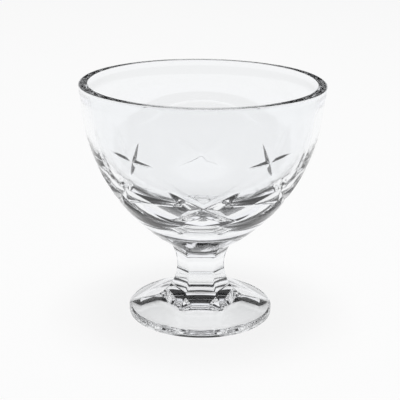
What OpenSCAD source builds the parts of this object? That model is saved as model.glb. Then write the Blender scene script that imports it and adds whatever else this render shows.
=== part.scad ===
// Pressed-glass ice cream dish: a star-cut, fluted bowl on a six-sided stem with a faceted foot.
// The axis is Z, the foot rests on z = 0 and one star faces -Y. Lengths are in millimetres.

/* [Bowl] */
// Diameter over the lip of the rim
rim_d = 100; // [92:1:115]
// Height from the table to the flat top of the rim
height = 99.3; // [95:0.1:115]
// Thickness of the wall
wall = 3; // [2.5:0.1:4]
// Distance that the lip stands out from the wall
lip_out = 0.7; // [0.4:0.05:1.2]
// Height of the lip's upright side
lip_edge = 3; // [2:0.1:4]
// Height of the lip, with the slant below its upright side
lip_h = 6; // [5:0.1:9]
// Radius of the rim's outer corner
rim_corner = 0.8; // [0.4:0.05:1.2]
// Width of the bevel on the rim's inner corner
rim_ease = 0.4; // [0.2:0.05:0.6]
// Depth of the wall's widest ring below the top of the rim
widest_drop = 3; // [2:0.1:8]
// Depth of the cavity that holds the ice cream
cavity_depth = 55.3; // [50:0.1:58]
// Radius of the wall's outer curve where it reaches the plane of the stem joint
underside_r = 5.5; // [3:0.1:8]

/* [Star cuts and flutes] */
// Number of stars, flutes and stem facets around the dish
sides = 6; // [5:1:8]
// Depth of the stars' centres below the top of the rim
star_drop = 42.3; // [34:0.1:46]
// Tilt of a star's crossed cuts from the horizontal
cut_tilt = 33; // [20:1:45]
// Depth of a crossed cut at the star's centre
cut_depth = 2.5; // [1:0.05:2.8]
// Angle between the two faces of a crossed cut
cut_angle = 113; // [100:1:140]
// Width of a flute
flute_w = 7.2; // [4:0.1:8.4]
// Depth of a flute at its middle line
flute_depth = 0.32; // [0.25:0.01:0.8]

/* [Stem] */
// Height of the stem's waist above the table
waist_h = 20.5; // [20.2:0.1:24]
// Width of the waist across opposite facets
waist_flat = 17.4; // [14:0.1:20]
// Width across opposite facets where they run out under the bowl
calyx_flat = 29; // [24:0.1:30]
// Height above the table where the facets run out under the bowl
calyx_h = 35; // [34.5:0.1:38]
// Radius of the hollow curve from the waist down to the foot
flare_r = 17; // [14:0.5:17.5]
// Height of the joint between stem and bowl
bowl_joint_h = 27; // [25:0.1:29]
// Height of the joint between foot and stem
foot_joint_h = 12; // [11:0.1:15]

/* [Foot] */
// Diameter of the foot
foot_d = 60.6; // [59:0.2:72]
// Height of the foot's edge at the middle of a facet
foot_edge = 2.6; // [2.4:0.1:4]
// Slope of the foot's facets
foot_slope = 15; // [14:0.5:19]
// Radius of the foot's lower corner
foot_corner = 0.8; // [0.4:0.05:1.2]
// Width of the flat ring that the foot rests on
rest_ring = 4; // [2:0.1:6]
// Depth of the hollow under the foot
hollow_h = 4; // [2:0.1:4.5]

/* [Hidden] */
$fn = 120;
glass = "#dfe5e8";
step = 360 / sides;
// Length by which cutters pass the face that they cut
pass = 2;
// Distance by which the cavity's round floor laps over the inner wall, so that they meet in one line
floor_lap = 0.05;

// Wall curves: two concentric arcs, and the round floor that all but touches the inner one
rim_r = rim_d / 2;
wall_r = rim_r - lip_out;
widest_z = height - widest_drop;
wall_drop = widest_z - bowl_joint_h;
wall_gain = wall_r - underside_r;
outer_r = (pow(wall_gain, 2) + pow(wall_drop, 2)) / (2 * wall_gain);
inner_r = outer_r - wall;
curve_x = wall_r - outer_r;
floor_z = height - cavity_depth;
floor_drop = widest_z - floor_z;
lap_r = inner_r + floor_lap;
floor_r = (pow(lap_r, 2) - pow(curve_x, 2) - pow(floor_drop, 2)) / (2 * (lap_r - floor_drop));
lap_z = widest_z - lap_r * (floor_drop - floor_r) / (lap_r - floor_r);

// Rim: the lip's slant runs on to the middle of the wall, and the mouth is the inner arc's top
lip_core_r = wall_r - wall / 2;
lip_slant = (lip_h - lip_edge) / lip_out;
lip_core_z = height - lip_h - (wall_r - lip_core_r) * lip_slant;
mouth_r = curve_x + sqrt(pow(inner_r, 2) - pow(widest_drop, 2));

// Stars: place on the wall, and the angle by which the wall leans out there
star_z = height - star_drop;
star_lean = asin((widest_z - star_z) / outer_r);
star_half_w = cut_depth * tan(cut_angle / 2);

// Flutes: two faces that meet at the middle line and run out on the round wall at the flute's width
flute_turn = star_lean + asin((widest_drop - lip_edge) / outer_r);
flute_rise = flute_depth - pow(flute_w / 2, 2) / rim_d;
flute_half_w = flute_w / 2 * flute_depth / flute_rise;

// Stem facets: one arc from the waist up to the bowl and one from the waist down to the foot
waist_a = waist_flat / 2;
flare_x = waist_a + flare_r;
rise_gain = calyx_flat / 2 - waist_a;
rise_r = (pow(rise_gain, 2) + pow(calyx_h - waist_h, 2)) / (2 * rise_gain);

// Foot
foot_r = foot_d / 2;
hollow_r = foot_r - foot_corner - rest_ring;
hollow_sphere_r = (pow(hollow_r, 2) + pow(hollow_h, 2)) / (2 * hollow_h);
facet_reach = foot_d;
facet_axis_z = foot_edge + foot_r * tan(foot_slope);
facet_reach_z = foot_edge + (foot_r - facet_reach) * tan(foot_slope);

// Half of the bowl's outer form up to the lip
module body_section() {
    intersection() {
        translate([curve_x, widest_z]) circle(r = outer_r);
        translate([0, bowl_joint_h]) square([rim_d, height - lip_edge - bowl_joint_h]);
    }
}

// Half of the lip, as a disc with a round upper corner
module lip_section() {
    corner_x = rim_r - rim_corner;
    corner_z = height - rim_corner;
    translate([corner_x, corner_z]) circle(r = rim_corner);
    polygon([
        [0, height],
        [corner_x, height],
        [corner_x, corner_z],
        [rim_r, corner_z],
        [rim_r, height - lip_edge],
        [lip_core_r, lip_core_z],
        [0, lip_core_z]
    ]);
}

// Half of the cavity, with the bevel at its mouth
module cavity_section() {
    intersection() {
        translate([curve_x, widest_z]) circle(r = inner_r);
        translate([0, lap_z]) square([rim_d, height + pass - lap_z]);
    }
    intersection() {
        translate([0, floor_z + floor_r]) circle(r = floor_r);
        translate([0, floor_z - pass]) square([rim_d, floor_r + pass]);
    }
    polygon([
        [mouth_r - pass, height - rim_ease - pass],
        [mouth_r + rim_ease + pass, height + pass],
        [mouth_r - pass, height + pass]
    ]);
}

// V-shaped section: its point lies depth below x = place, and its faces open outwards
module vee(place, depth, half_w) {
    reach = depth + pass;
    spread = half_w * reach / depth;
    polygon([[place - depth, 0], [place + pass, -spread], [place + pass, spread]]);
}

// Two straight mitre cuts that cross at a star's centre
module star_cut() {
    translate([curve_x, 0, widest_z])
        rotate([0, star_lean, 0])
            for (tilt = [-cut_tilt, cut_tilt])
                translate([outer_r, 0, 0])
                    rotate([90 + tilt, 0, 0])
                        linear_extrude(height = rim_r, center = true)
                            vee(0, cut_depth, star_half_w);
}

// Flute that follows the wall from a star's centre up into the lip
module flute_cut() {
    translate([curve_x, 0, widest_z])
        rotate([90, 0, 0])
            rotate([0, 0, -star_lean])
                rotate_extrude(angle = flute_turn, $fn = 360)
                    vee(outer_r, flute_depth, flute_half_w);
}

// Profile, beside the axis, of the tool that shapes one facet of the stem and the foot
module facet_section() {
    translate([waist_a + rise_r, waist_h])
        intersection() {
            circle(r = rise_r);
            translate([-rise_r, 0]) square(2 * rise_r);
        }
    intersection() {
        union() {
            translate([flare_x, waist_h]) circle(r = flare_r);
            translate([flare_x, waist_h - flare_r - pass]) square([facet_reach, flare_r + pass]);
        }
        polygon([
            [0, facet_axis_z],
            [facet_reach, facet_reach_z],
            [facet_reach, waist_h],
            [0, waist_h]
        ]);
    }
}

// All facets around the axis, one below each star
module facet_cuts() {
    for (i = [0 : sides - 1])
        rotate([90, 0, i * step - 90])
            linear_extrude(height = 2 * foot_d, center = true)
                facet_section();
}

// Faceted column between two heights
module column(low, high) {
    difference() {
        translate([0, 0, low]) cylinder(r = foot_r, h = high - low);
        facet_cuts();
    }
}

module bowl() {
    color(glass, 0.4)
        difference() {
            union() {
                difference() {
                    union() {
                        rotate_extrude() body_section();
                        column(bowl_joint_h, calyx_h);
                    }
                    for (i = [0 : sides - 1])
                        rotate([0, 0, i * step - 90]) {
                            star_cut();
                            flute_cut();
                        }
                }
                rotate_extrude() lip_section();
            }
            rotate_extrude() cavity_section();
        }
}

module stem() {
    color(glass, 0.4) column(foot_joint_h, bowl_joint_h);
}

module foot() {
    corner_x = foot_r - foot_corner;
    color(glass, 0.4)
        difference() {
            rotate_extrude() {
                translate([corner_x, foot_corner]) circle(r = foot_corner);
                polygon([
                    [0, 0],
                    [corner_x, 0],
                    [corner_x, foot_corner],
                    [foot_r, foot_corner],
                    [foot_r, foot_joint_h],
                    [0, foot_joint_h]
                ]);
            }
            facet_cuts();
            translate([0, 0, hollow_h - hollow_sphere_r]) sphere(r = hollow_sphere_r);
        }
}

bowl();
stem();
foot();
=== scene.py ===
"""Pressed-glass ice cream dish: bowl, stem and foot as clear glass on a white table."""
import math
from types import SimpleNamespace

import bpy
import numpy as np
from bpy.props import FloatProperty, FloatVectorProperty, IntProperty, PointerProperty
from mathutils import Matrix, Vector


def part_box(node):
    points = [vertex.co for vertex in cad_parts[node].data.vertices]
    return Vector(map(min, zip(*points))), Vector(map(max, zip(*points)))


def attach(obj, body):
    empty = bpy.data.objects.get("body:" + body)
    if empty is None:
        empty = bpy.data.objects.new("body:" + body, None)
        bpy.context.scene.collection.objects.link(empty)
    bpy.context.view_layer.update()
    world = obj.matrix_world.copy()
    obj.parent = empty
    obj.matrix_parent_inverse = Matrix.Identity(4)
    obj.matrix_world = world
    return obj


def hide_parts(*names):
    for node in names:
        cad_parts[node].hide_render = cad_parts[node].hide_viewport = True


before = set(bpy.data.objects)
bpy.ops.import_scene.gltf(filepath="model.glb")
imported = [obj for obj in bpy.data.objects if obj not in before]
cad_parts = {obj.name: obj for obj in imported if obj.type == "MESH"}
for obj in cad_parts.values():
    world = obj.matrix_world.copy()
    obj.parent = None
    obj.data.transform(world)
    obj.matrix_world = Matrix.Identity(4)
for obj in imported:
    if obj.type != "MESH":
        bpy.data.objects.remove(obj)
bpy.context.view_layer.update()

bl_info = {
    "name": "Ice cream dish",
    "version": (1, 0, 0),
    "blender": (4, 5, 0),
    "location": "3D View > Sidebar > Dish",
    "description": "Makes a pressed-glass ice cream dish from its bowl, stem and foot",
    "category": "Add Mesh",
}

MM = 0.001
BOWL_LOW, BOWL_HIGH = (Vector(corner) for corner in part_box("bowl"))
FOOT_HIGH = Vector(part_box("foot")[1])

# Fitted camera: its picture, where it stands before it is turned about the dish, how it is tilted, and
# the nearest distance that it shows
PHOTO_PIXELS = 400
FOCAL_PIXELS = 1082.78
SENSOR_WIDTH = 36.0
CAMERA_PLACE = Vector((-0.000604, -0.42946, 0.18838))
CAMERA_TURN = math.radians(-1.2)
CAMERA_PITCH = math.radians(17.968)
CAMERA_ROLL = math.radians(0.676)
CAMERA_NEAR = 0.01

# Mesh density: columns in one side of the dish, and rows along each stretch of its section
COLUMNS = 76
CAVITY_ROWS = 60
WALL_ROWS = 132
STEM_ROWS = 60
FOOT_ROWS = 90
HOLLOW_ROWS = 40
CORNER_ROWS = 9

# Rows of the wall lie closer together at the stars: the added density, the angle in radians that it
# spreads over, and the number of steps in which the rows are placed
STAR_EXTRA = 2.2
STAR_SPREAD = 0.22
PLACING_STEPS = 4000

# Fire polish: the bottoms of the star cuts and the edges of the flutes are this many times sharper
# than the edges of the star cuts
BOTTOM_SHARPER = 4
FLUTE_SHARPER = 3

# Share of a flute's height over which its top fades
FLUTE_FADE = 0.25

# Least lean of a cut's face from the outward direction, so that depths stay finite beside it
LEAST_LEAN = 0.05

# Table: columns and inner rings of its mesh, and how far it lies below the foot, so that no faces coincide
TABLE_COLUMNS = 96
TABLE_RINGS = (0.5 * MM, 0.1)
TABLE_DROP = 0.1 * MM

# Bounces of light, enough for rays that cross many walls of glass
GLASS_BOUNCES = 32
GLOSS_BOUNCES = 16
JOINT_BOUNCES = 24


def size(name, description, default):
    """A length that a user may change, in metres."""
    return FloatProperty(name=name, description=description, default=default, unit="LENGTH", precision=5)


def turn(name, description, degrees):
    """An angle that a user may change, given in degrees."""
    return FloatProperty(name=name, description=description, default=math.radians(degrees), subtype="ANGLE")


def portion(name, description, default, most=1.0):
    """A share that a user may change, from nothing up to most."""
    return FloatProperty(name=name, description=description, default=default,
                         min=0.0, max=most, subtype="FACTOR")


def linear(hex_code):
    """Linear colour of an sRGB hex value such as #f4f6f7."""
    shares = [int(hex_code[i:i + 2], 16) / 255 for i in (1, 3, 5)]
    return [s / 12.92 if s <= 0.04045 else ((s + 0.055) / 1.055) ** 2.4 for s in shares]


def tint(name, description, hex_code):
    """A colour that a user may change, given as an sRGB hex value."""
    return FloatVectorProperty(name=name, description=description, default=linear(hex_code),
                               subtype="COLOR", size=3, min=0.0, max=1.0)


class BowlSizes(bpy.types.PropertyGroup):
    """Sizes of the bowl with its rim, stars and flutes"""
    rim_r: size("Rim radius", "Radius over the lip of the rim", BOWL_HIGH.x)
    height: size("Height", "Height of the rim above the table", BOWL_HIGH.z)
    joint_h: size("Joint height", "Height of the joint between bowl and stem", BOWL_LOW.z)
    wall: size("Wall", "Thickness of the wall below the rim", 3.0 * MM)
    lip_out: size("Lip", "Distance that the lip stands out from the wall", 0.7 * MM)
    lip_h: size("Lip height", "Height of the lip, with the slant below its upright side", 6.0 * MM)
    lip_edge: size("Lip edge", "Height of the lip's upright side", 3.0 * MM)
    rim_corner: size("Rim corner", "Radius of the rim's outer corner", 0.8 * MM)
    rim_ease: size("Rim ease", "Radius of the rim's inner corner", 0.4 * MM)
    widest_drop: size("Widest drop", "Depth of the wall's widest ring below the rim", 3.0 * MM)
    underside_r: size("Underside radius", "Radius of the wall's curve at the stem joint", 5.5 * MM)
    cavity_depth: size("Cavity depth", "Depth of the hollow that holds the ice cream", 55.3 * MM)
    sides: IntProperty(name="Sides", description="Number of stars, flutes and facets",
                       default=6, min=5, max=8)
    star_drop: size("Star drop", "Depth of the stars' centres below the rim", 42.3 * MM)
    cut_tilt: turn("Cut tilt", "Tilt of a star's crossed cuts from the horizontal", 33.0)
    cut_depth: size("Cut depth", "Depth of a crossed cut at the star's centre", 1.4 * MM)
    cut_angle: turn("Cut angle", "Angle between the two faces of a crossed cut", 137.0)
    cut_r: size("Cut radius", "Radius of the curve that the bottom of a crossed cut follows", 120.0 * MM)
    flute_w: size("Flute width", "Width of a flute", 7.2 * MM)
    flute_depth: size("Flute depth", "Depth of a flute at its middle line", 0.32 * MM)
    flute_h: size("Flute height", "Height of a flute's top over the star's centre", 20.0 * MM)
    cut_blend: size("Cut blend", "Softening of the cuts' edges by the fire polish", 0.25 * MM)


class StemSizes(bpy.types.PropertyGroup):
    """Sizes of the stem and of the facets that run from it under the bowl and onto the foot"""
    waist_flat: size("Waist", "Width of the waist across opposite facets", 17.4 * MM)
    waist_h: size("Waist height", "Height of the stem's waist above the table", 20.5 * MM)
    calyx_flat: size("Calyx", "Width across opposite facets where they run out under the bowl", 29.0 * MM)
    calyx_h: size("Calyx height", "Height at which the facets run out under the bowl", 35.0 * MM)
    calyx_blend: size("Calyx blend", "Softening of the line between the facets and the bowl", 1.5 * MM)
    flare_r: size("Flare radius", "Radius of the hollow curve from the waist to the foot", 17.0 * MM)
    flare_blend: size("Flare blend", "Softening of the line between flare and foot facets", 0.5 * MM)
    ridge_blend: portion("Ridge blend", "Softening of the ridges, as a share of the radius", 0.06, 0.2)


class FootSizes(bpy.types.PropertyGroup):
    """Sizes of the foot"""
    foot_r: size("Foot radius", "Radius of the foot", FOOT_HIGH.x)
    joint_h: size("Joint height", "Height of the joint between stem and foot", FOOT_HIGH.z)
    slope: turn("Facet slope", "Slope of the foot's facets", 15.0)
    edge_h: size("Edge height", "Height of the foot's edge at the middle of a facet", 2.6 * MM)
    edge_r: size("Edge radius", "Radius of the foot's upper edge", 1.2 * MM)
    base_r: size("Base radius", "Radius of the foot's lower edge", 0.8 * MM)
    hollow_r: size("Hollow radius", "Radius of the hollow under the foot", 25.5 * MM)
    hollow_h: size("Hollow height", "Height of the hollow under the foot", 4.0 * MM)


class StageSettings(bpy.types.PropertyGroup):
    """Sizes, colours and levels of the table, the room and the lamp"""
    floor_r: size("Table radius", "Radius of the white table top", 4.0)
    floor_colour: tint("Table colour", "Colour of the matt white table top", "#fdfdfd")
    floor_glow: portion("Table glow", "Share of the table's white that holds no shadow", 0.9)
    room_colour: tint("Room colour", "Colour of the light that comes from the room", "#f9f9fc")
    white_end: turn("White end", "Elevation up to which the room is white", 7.0)
    dark_start: turn("Dark start", "Elevation from which the room is dark", 10.0)
    dark_level: portion("Dark level", "Level of the dark part of the room", 0.02)
    top_start: turn("Ceiling start", "Elevation at which the light ceiling begins", 60.0)
    top_full: turn("Ceiling full", "Elevation from which the light ceiling has its full level", 75.0)
    lamp_h: size("Lamp height", "Height of the soft lamp over the table", 1.6)
    lamp_side: size("Lamp side", "Side of the soft square lamp", 0.5)
    lamp_power: FloatProperty(name="Lamp power", description="Power of the soft lamp in watts",
                              default=18.0, min=0.0)


def smooth_min(a, b, blend):
    """Lower of two values, with the crease between them softened over blend."""
    share = np.clip(0.5 + 0.5 * (b - a) / blend, 0, 1)
    return b * (1 - share) + a * share - blend * share * (1 - share)


def smooth_max(a, b, blend):
    """Higher of two values, with the crease between them softened over blend."""
    return -smooth_min(-a, -b, blend)


def columns(sides):
    """Angles of the mesh's columns from the front of the dish."""
    count = sides * COLUMNS
    return np.arange(count) * 2 * math.pi / count


def wall_arcs(bowl):
    """Arcs of the bowl's section: the outer and inner wall about one centre, and the round floor."""
    wall_r = bowl.rim_r - bowl.lip_out
    centre_z = bowl.height - bowl.widest_drop
    gain = wall_r - bowl.underside_r
    drop = centre_z - bowl.joint_h
    outer_r = (gain ** 2 + drop ** 2) / (2 * gain)
    inner_r = outer_r - bowl.wall
    centre_x = wall_r - outer_r
    floor_z = bowl.height - bowl.cavity_depth
    floor_drop = centre_z - floor_z
    floor_r = (inner_r ** 2 - centre_x ** 2 - floor_drop ** 2) / (2 * (inner_r - floor_drop))
    meet_z = centre_z - inner_r * (floor_drop - floor_r) / (inner_r - floor_r)
    return SimpleNamespace(centre_x=centre_x, centre_z=centre_z, outer_r=outer_r, inner_r=inner_r,
                           floor_z=floor_z, floor_r=floor_r, meet_z=meet_z)


def wall_radius(z, arcs):
    """Radius of the uncut outer wall at a height."""
    return arcs.centre_x + np.sqrt(np.maximum(arcs.outer_r ** 2 - (z - arcs.centre_z) ** 2, 0))


def mitre_depth(points, outward, place, along, normal, bowl):
    """Depth, along outward, that a curved V cut takes away at points of the wall."""
    across = np.cross(normal, along)
    away = points - (place - bowl.cut_r * normal)
    reach, aside, rise = away @ along, away @ across, away @ normal
    radial = np.hypot(reach, rise)
    half = bowl.cut_angle / 2
    soft = bowl.cut_blend * math.cos(half) / BOTTOM_SHARPER
    inside = (radial - bowl.cut_r + bowl.cut_depth) * math.sin(half)
    gap = inside + soft - np.hypot(aside * math.cos(half), soft)
    lean = (outward @ normal) * math.sin(half) - np.sign(aside) * (outward @ across) * math.cos(half)
    return gap / np.maximum(lean, LEAST_LEAN)


def star_depth(points, outward, bowl, arcs):
    """Depth, along outward, of the crossed cuts of the nearest star and its two neighbours."""
    step = 2 * math.pi / bowl.sides
    star_z = bowl.height - bowl.star_drop
    star_r = float(wall_radius(np.array(star_z), arcs))
    place = np.array([star_r, 0, star_z])
    normal = np.array([star_r - arcs.centre_x, 0, star_z - arcs.centre_z]) / arcs.outer_r
    upward = np.array([-normal[2], 0, normal[0]])
    sideways = np.array([0.0, 1.0, 0.0])
    depth = np.zeros(points.shape[:-1])
    for neighbour in (-1, 0, 1):
        spin = np.array(Matrix.Rotation(neighbour * step, 3, "Z"))
        for lean in (bowl.cut_tilt, -bowl.cut_tilt):
            along = sideways * math.cos(lean) + upward * math.sin(lean)
            cut = mitre_depth(points, outward, spin @ place, spin @ along, spin @ normal, bowl)
            depth = smooth_max(depth, cut, bowl.cut_blend)
    return depth


def flute_depth(aside, radius, z, bowl):
    """Depth of a flute beside its middle line, from the star's centre up to the top, where it fades."""
    star_z = bowl.height - bowl.star_drop
    half_w = bowl.flute_w / 2
    fall = (bowl.flute_depth - half_w ** 2 / (2 * bowl.rim_r)) / half_w
    depth = bowl.flute_depth - aside * fall - aside ** 2 / (2 * radius)
    fade = np.clip((star_z + bowl.flute_h - z) / (bowl.flute_h * FLUTE_FADE), 0, 1)
    return np.where(z >= star_z, depth - bowl.flute_depth * (1 - fade), -bowl.flute_depth)


def cut_wall(angles, heights, bowl, arcs):
    """Radii of the outer wall with its stars and flutes, one row for each height."""
    z = heights[:, None]
    radius = wall_radius(z, arcs) + 0 * angles[None, :]
    step = 2 * math.pi / bowl.sides
    turned = (angles[None, :] + step / 2) % step - step / 2 + 0 * z
    outward = np.stack([np.cos(turned), np.sin(turned), 0 * turned], -1)
    points = np.stack([radius * np.cos(turned), radius * np.sin(turned), z + 0 * turned], -1)
    stars = star_depth(points, outward, bowl, arcs)
    flutes = flute_depth(np.abs(radius * np.sin(turned)), radius, z, bowl)
    depth = smooth_max(stars, flutes, bowl.cut_blend / FLUTE_SHARPER)
    return radius - np.maximum(depth, 0)


def facet_factor(angles, sides, blend):
    """Radius of a many-sided section over its apothem, with softened ridges."""
    step = 2 * math.pi / sides
    turned = np.abs((angles + step / 2) % step - step / 2)
    return smooth_min(1 / np.cos(turned), 1 / np.cos(step - turned), blend)


def facet_apothem(z, stem):
    """Distance of a stem facet from the axis at a height: a hollow arc above and below the waist."""
    apothem = stem.waist_flat / 2
    gain = stem.calyx_flat / 2 - apothem
    rise = stem.calyx_h - stem.waist_h
    rise_r = (gain ** 2 + rise ** 2) / (2 * gain)
    radius = np.where(z > stem.waist_h, rise_r, stem.flare_r)
    return apothem + radius - np.sqrt(np.maximum(radius ** 2 - (z - stem.waist_h) ** 2, 0))


def facet_height(apothem, stem, foot):
    """Height of a foot facet at a distance from the axis: the stem's flare, then a straight slope."""
    aside = np.maximum(stem.waist_flat / 2 + stem.flare_r - apothem, 0)
    flare = stem.waist_h - np.sqrt(np.maximum(stem.flare_r ** 2 - aside ** 2, 0))
    slope = foot.edge_h + (foot.foot_r - apothem) * math.tan(foot.slope)
    return smooth_max(flare, slope, stem.flare_blend)


def arc_points(centre_r, centre_z, radius, start, stop, count):
    """Points (radius, height) along an arc of the section, without the first one."""
    return [(centre_r + radius * math.cos(a), centre_z + radius * math.sin(a))
            for a in np.linspace(start, stop, count + 1)[1:]]


def cavity_section(bowl, arcs):
    """Section of the bowl's inside and rim, from the floor to the outside of the lip."""
    down = -math.pi / 2
    meet_a = math.asin((arcs.meet_z - arcs.floor_z - arcs.floor_r) / arcs.floor_r)
    points = arc_points(0, arcs.floor_z + arcs.floor_r, arcs.floor_r, down, meet_a, CAVITY_ROWS // 2)
    ease_z = bowl.height - bowl.rim_ease
    low_a = math.asin((arcs.meet_z - arcs.centre_z) / arcs.inner_r)
    high_a = math.asin((ease_z - arcs.centre_z) / arcs.inner_r)
    points += arc_points(arcs.centre_x, arcs.centre_z, arcs.inner_r, low_a, high_a, CAVITY_ROWS // 2)
    inside_r = points[-1][0] + bowl.rim_ease
    points += arc_points(inside_r, ease_z, bowl.rim_ease, math.pi, math.pi / 2, CORNER_ROWS)
    outside_r = bowl.rim_r - bowl.rim_corner
    points += [(r, bowl.height) for r in np.linspace(inside_r, outside_r, CORNER_ROWS)[1:]]
    corner_z = bowl.height - bowl.rim_corner
    points += arc_points(outside_r, corner_z, bowl.rim_corner, math.pi / 2, 0, CORNER_ROWS)
    return points


def star_rows(bowl, arcs, top_z):
    """Heights of the outer wall's rows from top_z down to the joint, closer together at the stars."""
    low_a, high_a = (math.asin((z - arcs.centre_z) / arcs.outer_r) for z in (bowl.joint_h, top_z))
    star_a = math.asin((bowl.height - bowl.star_drop - arcs.centre_z) / arcs.outer_r)
    steps = np.linspace(low_a, high_a, PLACING_STEPS)
    density = 1 + STAR_EXTRA * np.exp(-((steps - star_a) / STAR_SPREAD) ** 2)
    share = np.cumsum(density) / density.sum()
    angles = np.interp(np.linspace(0, 1, WALL_ROWS), share, steps)[::-1]
    angles[0], angles[-1] = high_a, low_a
    return arcs.centre_z + arcs.outer_r * np.sin(angles)


def bowl_rings(bowl, stem):
    """Rings of the bowl from the cavity's floor over the rim and down to the stem joint."""
    arcs = wall_arcs(bowl)
    angles = columns(bowl.sides)
    one = np.ones_like(angles)
    rings = [(one * r, one * z) for r, z in cavity_section(bowl, arcs)]
    heights = star_rows(bowl, arcs, bowl.height - bowl.rim_corner)[1:]
    wall = cut_wall(angles, heights, bowl, arcs)
    # The slant under the lip becomes a smooth taper that passes it by half its height at either end
    span = bowl.lip_h - bowl.lip_edge
    share = np.clip((heights - bowl.height + bowl.lip_h + span / 2) / (2 * span), 0, 1)
    lip = bowl.lip_out * share ** 2 * (3 - 2 * share)
    wall = np.minimum(wall + lip[:, None], bowl.rim_r)
    facets = facet_apothem(heights, stem)[:, None] * facet_factor(angles, bowl.sides, stem.ridge_blend)
    # The facets belong to the wall only up to their softened top
    faceted = (heights < stem.calyx_h + 2 * stem.calyx_blend)[:, None]
    wall = np.where(faceted, smooth_max(wall, facets, stem.calyx_blend), wall)
    rings += [(row, one * z) for row, z in zip(wall, heights)]
    return rings, arcs.floor_z


def stem_rings(bowl, stem, foot):
    """Rings of the stem from the bowl joint down to the foot joint."""
    angles = columns(bowl.sides)
    factor = facet_factor(angles, bowl.sides, stem.ridge_blend)
    arcs = wall_arcs(bowl)
    rings = []
    for z in np.linspace(bowl.joint_h, foot.joint_h, STEM_ROWS):
        # The bowl's curve runs on below the joint, so that stem and bowl meet in one ring
        core = np.full_like(angles, float(wall_radius(np.array(z), arcs)))
        rings.append((smooth_max(core, facet_apothem(z, stem) * factor, stem.calyx_blend), 0 * angles + z))
    return rings


def foot_rings(bowl, stem, foot):
    """Rings of the foot from the stem joint over the flare and the edge to the hollow underneath."""
    angles = columns(bowl.sides)
    one = np.ones_like(angles)
    factor = facet_factor(angles, bowl.sides, stem.ridge_blend)
    inner_r = facet_apothem(foot.joint_h, stem) * factor
    outer_r = foot.foot_r - foot.edge_r * (1 - math.sin(foot.slope))
    rings = []
    for share in np.linspace(0, 1, FOOT_ROWS):
        radius = inner_r + (outer_r - inner_r) * share
        rings.append((radius, facet_height(radius / factor, stem, foot)))
    edge_z = rings[-1][1]
    for lean in np.linspace(foot.slope, math.pi / 2, CORNER_ROWS)[1:]:
        drop = foot.edge_r * (math.cos(foot.slope) - math.cos(lean))
        radius = foot.foot_r - foot.edge_r * (1 - math.sin(lean))
        rings.append((one * radius, edge_z - drop))
    base = arc_points(foot.foot_r - foot.base_r, foot.base_r, foot.base_r, 0, -math.pi / 2, CORNER_ROWS)
    dome_r = (foot.hollow_r ** 2 + foot.hollow_h ** 2) / (2 * foot.hollow_h)
    for radius in np.linspace(foot.hollow_r, 0, HOLLOW_ROWS)[:-1]:
        base.append((radius, foot.hollow_h - dome_r + math.sqrt(dome_r ** 2 - radius ** 2)))
    rings += [(one * r, one * z) for r, z in base]
    return rings


def lathe(name, rings, first_z, last_z, first_cap, last_cap):
    """Closed mesh of rings, each joined to the next, with a point on the axis at either end.

    An end that is a cap is a flat joint face: it takes the second material and shades flat.
    """
    radii = np.array([r for r, z in rings])
    heights = np.array([z for r, z in rings])
    rows, count = radii.shape
    angles = np.arange(count) * 2 * math.pi / count - math.pi / 2
    grid = np.stack([radii * np.cos(angles), radii * np.sin(angles), heights], -1).reshape(-1, 3)
    ends = [(0, 0, first_z), (0, 0, last_z)]
    index = np.arange(rows * count).reshape(rows, count)
    beside = np.roll(index, -1, axis=1)
    walls = np.stack([index[:-1], index[1:], beside[1:], beside[:-1]], -1).reshape(-1, 4)
    first = np.stack([np.full(count, rows * count), index[0], beside[0]], -1)
    last = np.stack([beside[-1], index[-1], np.full(count, rows * count + 1)], -1)
    mesh = bpy.data.meshes.new(name)
    mesh.from_pydata(grid.tolist() + ends, [], walls.tolist() + first.tolist() + last.tolist())
    flat = np.zeros(len(mesh.polygons), dtype=bool)
    flat[len(walls):len(walls) + count] = first_cap
    flat[len(walls) + count:] = last_cap
    mesh.polygons.foreach_set("use_smooth", ~flat)
    mesh.polygons.foreach_set("material_index", flat.astype(np.int32))
    mesh.update()
    piece = bpy.data.objects.new(name, mesh)
    bpy.context.scene.collection.objects.link(piece)
    mesh.materials.append(pressed_glass())
    mesh.materials.append(fused_joint())
    return piece


def dress(piece, node):
    """Lets a piece stand for its CAD node, which it hides, and ride on the dish."""
    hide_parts(node)
    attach(piece, "root")


def add(tree, kind, inputs=None, **settings):
    """Adds a node with its settings; inputs gives its sockets a link or a value, by name or number."""
    node = tree.nodes.new(kind)
    for key, value in settings.items():
        setattr(node, key, value)
    for key, value in (inputs or {}).items():
        if isinstance(value, bpy.types.NodeSocket):
            tree.links.new(value, node.inputs[key])
        else:
            node.inputs[key].default_value = value
    return node


def new_material(name):
    """An empty node material, and whether it has to be filled: a name that exists is used again."""
    material = bpy.data.materials.get(name)
    if material:
        return material, False
    material = bpy.data.materials.new(name)
    material.use_nodes = True
    material.node_tree.nodes.clear()
    return material, True


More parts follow.
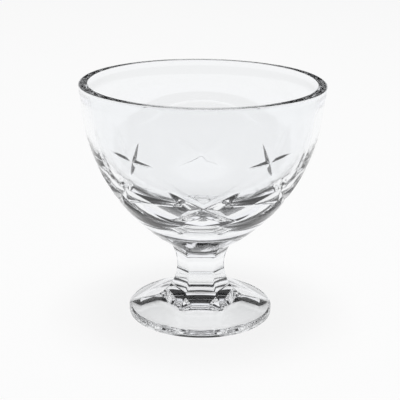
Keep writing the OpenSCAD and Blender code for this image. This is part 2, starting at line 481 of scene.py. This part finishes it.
def pressed_glass():
    """Soda-lime glass, pressed in a mould and fire-polished.

    The polish leaves no roughness, so every cut shows sharp refractions. The mould leaves a faint
    long waviness on all faces, which makes those refractions run a little unevenly.
    """
    material, fresh = new_material("soda_lime_glass_pressed_fire_polished")
    if not fresh:
        return material
    tree = material.node_tree
    wave_length = 9.0 * MM
    wave_height = 0.1 * MM
    wave_strength = 0.03
    place = add(tree, "ShaderNodeTexCoord")
    waves = add(tree, "ShaderNodeTexNoise", {
        "Vector": place.outputs["Object"],
        "Scale": 1 / wave_length,
        "Detail": 1.0,
    })
    bump = add(tree, "ShaderNodeBump", {
        "Height": waves.outputs["Fac"],
        "Strength": wave_strength,
        "Distance": wave_height,
    })
    glass = add(tree, "ShaderNodeBsdfPrincipled", {
        "Base Color": (*linear("#fbfcfd"), 1.0),
        "Roughness": 0.0,
        "IOR": 1.52,
        "Transmission Weight": 1.0,
        "Normal": bump.outputs["Normal"],
    })
    add(tree, "ShaderNodeOutputMaterial", {"Surface": glass.outputs[0]})
    return material


def fused_joint():
    """Hot joint between two pressed pieces: the glass is one there, so the joint can't be seen."""
    material, fresh = new_material("soda_lime_glass_fused_joint")
    if fresh:
        tree = material.node_tree
        clear = add(tree, "ShaderNodeBsdfTransparent")
        add(tree, "ShaderNodeOutputMaterial", {"Surface": clear.outputs[0]})
    return material


def table_white(stage):
    """Matt white laminate: white to the camera and in the glass, with a faint soft shadow."""
    material, fresh = new_material("white_laminate_matt")
    if not fresh:
        return material
    tree = material.node_tree
    colour = (*stage.floor_colour, 1.0)
    matt = add(tree, "ShaderNodeBsdfDiffuse", {"Color": colour})
    glow = add(tree, "ShaderNodeEmission", {"Color": colour, "Strength": 1.0})
    path = add(tree, "ShaderNodeLightPath")
    seen = path.outputs["Is Camera Ray"]
    for kind in ("Is Glossy Ray", "Is Transmission Ray"):
        either = add(tree, "ShaderNodeMath", {0: seen, 1: path.outputs[kind]}, operation="MAXIMUM")
        seen = either.outputs[0]
    share = add(tree, "ShaderNodeMath", {0: seen, 1: stage.floor_glow}, operation="MULTIPLY")
    mixed = add(tree, "ShaderNodeMixShader", {
        0: share.outputs[0],
        1: matt.outputs[0],
        2: glow.outputs[0],
    })
    add(tree, "ShaderNodeOutputMaterial", {"Surface": mixed.outputs[0]})
    return material


def room_level(tree, stage):
    """Level of the room by elevation, the same to the camera, the glass and the table.

    The room is white around the table and a little above it. Higher up it is dark, so that steep
    faces of the glass draw dark lines, and the ceiling is light.
    """
    place = add(tree, "ShaderNodeTexCoord")
    direction = add(tree, "ShaderNodeSeparateXYZ", {0: place.outputs["Generated"]})
    level = 1.0
    for start, end, following in ((stage.white_end, stage.dark_start, stage.dark_level),
                                  (stage.top_start, stage.top_full, 1.0)):
        change = add(tree, "ShaderNodeMapRange", {
            "Value": direction.outputs["Z"],
            "From Min": math.sin(start),
            "From Max": math.sin(end),
            "To Min": level,
            "To Max": following,
        }, interpolation_type="SMOOTHSTEP")
        level = change.outputs[0]
    return level


def lay_table(stage):
    """Round white table top under the dish, as a part of the stage."""
    count = TABLE_COLUMNS
    radii = (*TABLE_RINGS, stage.floor_r)
    angles = np.arange(count) * 2 * math.pi / count
    points = [(r * math.cos(a), r * math.sin(a), -TABLE_DROP) for r in radii for a in angles]
    faces = []
    for first in range(0, (len(radii) - 1) * count, count):
        for k in range(count):
            beside = (k + 1) % count
            faces.append((first + k, first + beside, first + count + beside, first + count + k))
    mesh = bpy.data.meshes.new("table_top")
    mesh.from_pydata(points, [], faces)
    mesh.materials.append(table_white(stage))
    table = bpy.data.objects.new("table_top", mesh)
    bpy.context.scene.collection.objects.link(table)


def light_stage(stage):
    """Studio room, and one soft lamp overhead that doesn't show in the glass."""
    scene = bpy.context.scene
    scene.world = bpy.data.worlds.new("glass_studio")
    scene.world.use_nodes = True
    tree = scene.world.node_tree
    tree.nodes.clear()
    room = add(tree, "ShaderNodeBackground", {
        "Color": (*stage.room_colour, 1.0),
        "Strength": room_level(tree, stage),
    })
    add(tree, "ShaderNodeOutputWorld", {"Surface": room.outputs[0]})
    lamp = bpy.data.lights.new("soft_lamp", "AREA")
    lamp.energy = stage.lamp_power
    lamp.size = stage.lamp_side
    holder = bpy.data.objects.new("soft_lamp", lamp)
    holder.location = (0.0, 0.0, stage.lamp_h)
    scene.collection.objects.link(holder)
    holder.visible_glossy = False
    holder.visible_transmission = False


def place_camera():
    """Camera at the photograph's viewing angle."""
    scene = bpy.context.scene
    camera = bpy.data.cameras.new("photo_camera")
    camera.sensor_width = SENSOR_WIDTH
    camera.lens = FOCAL_PIXELS / PHOTO_PIXELS * SENSOR_WIDTH
    camera.clip_start = CAMERA_NEAR
    holder = bpy.data.objects.new("photo_camera", camera)
    tilt = Matrix.Rotation(math.pi / 2 - CAMERA_PITCH, 4, "X") @ Matrix.Rotation(CAMERA_ROLL, 4, "Z")
    holder.matrix_world = Matrix.Rotation(CAMERA_TURN, 4, "Z") @ Matrix.Translation(CAMERA_PLACE) @ tilt
    scene.collection.objects.link(holder)
    scene.camera = holder


class DISH_OT_stage(bpy.types.Operator):
    """Sets the white table, the studio light and the camera"""
    bl_idname = "dish.stage"
    bl_label = "Set the stage"

    def execute(self, context):
        scene = context.scene
        place_camera()
        lay_table(scene.dish_stage)
        light_stage(scene.dish_stage)
        scene.view_settings.view_transform = "Standard"
        scene.cycles.max_bounces = GLASS_BOUNCES
        scene.cycles.transmission_bounces = GLASS_BOUNCES
        scene.cycles.glossy_bounces = GLOSS_BOUNCES
        scene.cycles.transparent_max_bounces = JOINT_BOUNCES
        return {"FINISHED"}


class DISH_OT_bowl(bpy.types.Operator):
    """Makes the star-cut, fluted bowl with its flat lipped rim"""
    bl_idname = "dish.bowl"
    bl_label = "Make the bowl"

    def execute(self, context):
        scene = context.scene
        rings, floor_z = bowl_rings(scene.dish_bowl, scene.dish_stem)
        piece = lathe("glass_bowl", rings, floor_z, scene.dish_bowl.joint_h, False, True)
        dress(piece, "bowl")
        return {"FINISHED"}


class DISH_OT_stem(bpy.types.Operator):
    """Makes the six-sided stem between bowl and foot"""
    bl_idname = "dish.stem"
    bl_label = "Make the stem"

    def execute(self, context):
        scene = context.scene
        rings = stem_rings(scene.dish_bowl, scene.dish_stem, scene.dish_foot)
        piece = lathe("glass_stem", rings, scene.dish_bowl.joint_h, scene.dish_foot.joint_h, True, True)
        dress(piece, "stem")
        return {"FINISHED"}


class DISH_OT_foot(bpy.types.Operator):
    """Makes the faceted foot with its round edge, rest ring and hollow"""
    bl_idname = "dish.foot"
    bl_label = "Make the foot"

    def execute(self, context):
        scene = context.scene
        rings = foot_rings(scene.dish_bowl, scene.dish_stem, scene.dish_foot)
        piece = lathe("glass_foot", rings, scene.dish_foot.joint_h, scene.dish_foot.hollow_h, True, False)
        dress(piece, "foot")
        return {"FINISHED"}


class DISH_PT_panel(bpy.types.Panel):
    """Sizes of the dish and the operators that make it"""
    bl_idname = "DISH_PT_panel"
    bl_label = "Ice cream dish"
    bl_space_type = "VIEW_3D"
    bl_region_type = "UI"
    bl_category = "Dish"

    def draw(self, context):
        for operator, group in STEPS:
            self.layout.operator(operator.bl_idname)
            settings = getattr(context.scene, group)
            for name in settings.__annotations__:
                self.layout.prop(settings, name)


GROUPS = {
    "dish_stage": StageSettings,
    "dish_bowl": BowlSizes,
    "dish_stem": StemSizes,
    "dish_foot": FootSizes,
}
STEPS = [
    (DISH_OT_stage, "dish_stage"),
    (DISH_OT_bowl, "dish_bowl"),
    (DISH_OT_stem, "dish_stem"),
    (DISH_OT_foot, "dish_foot"),
]


def register():
    for name, group in GROUPS.items():
        bpy.utils.register_class(group)
        setattr(bpy.types.Scene, name, PointerProperty(type=group))
    for operator, group in STEPS:
        bpy.utils.register_class(operator)
    bpy.utils.register_class(DISH_PT_panel)


def unregister():
    bpy.utils.unregister_class(DISH_PT_panel)
    for operator, group in reversed(STEPS):
        bpy.utils.unregister_class(operator)
    for name, group in GROUPS.items():
        delattr(bpy.types.Scene, name)
        bpy.utils.unregister_class(group)


def main():
    register()
    bpy.ops.dish.stage()
    bpy.ops.dish.bowl()
    bpy.ops.dish.stem()
    bpy.ops.dish.foot()


if __name__ == "__main__":
    main()
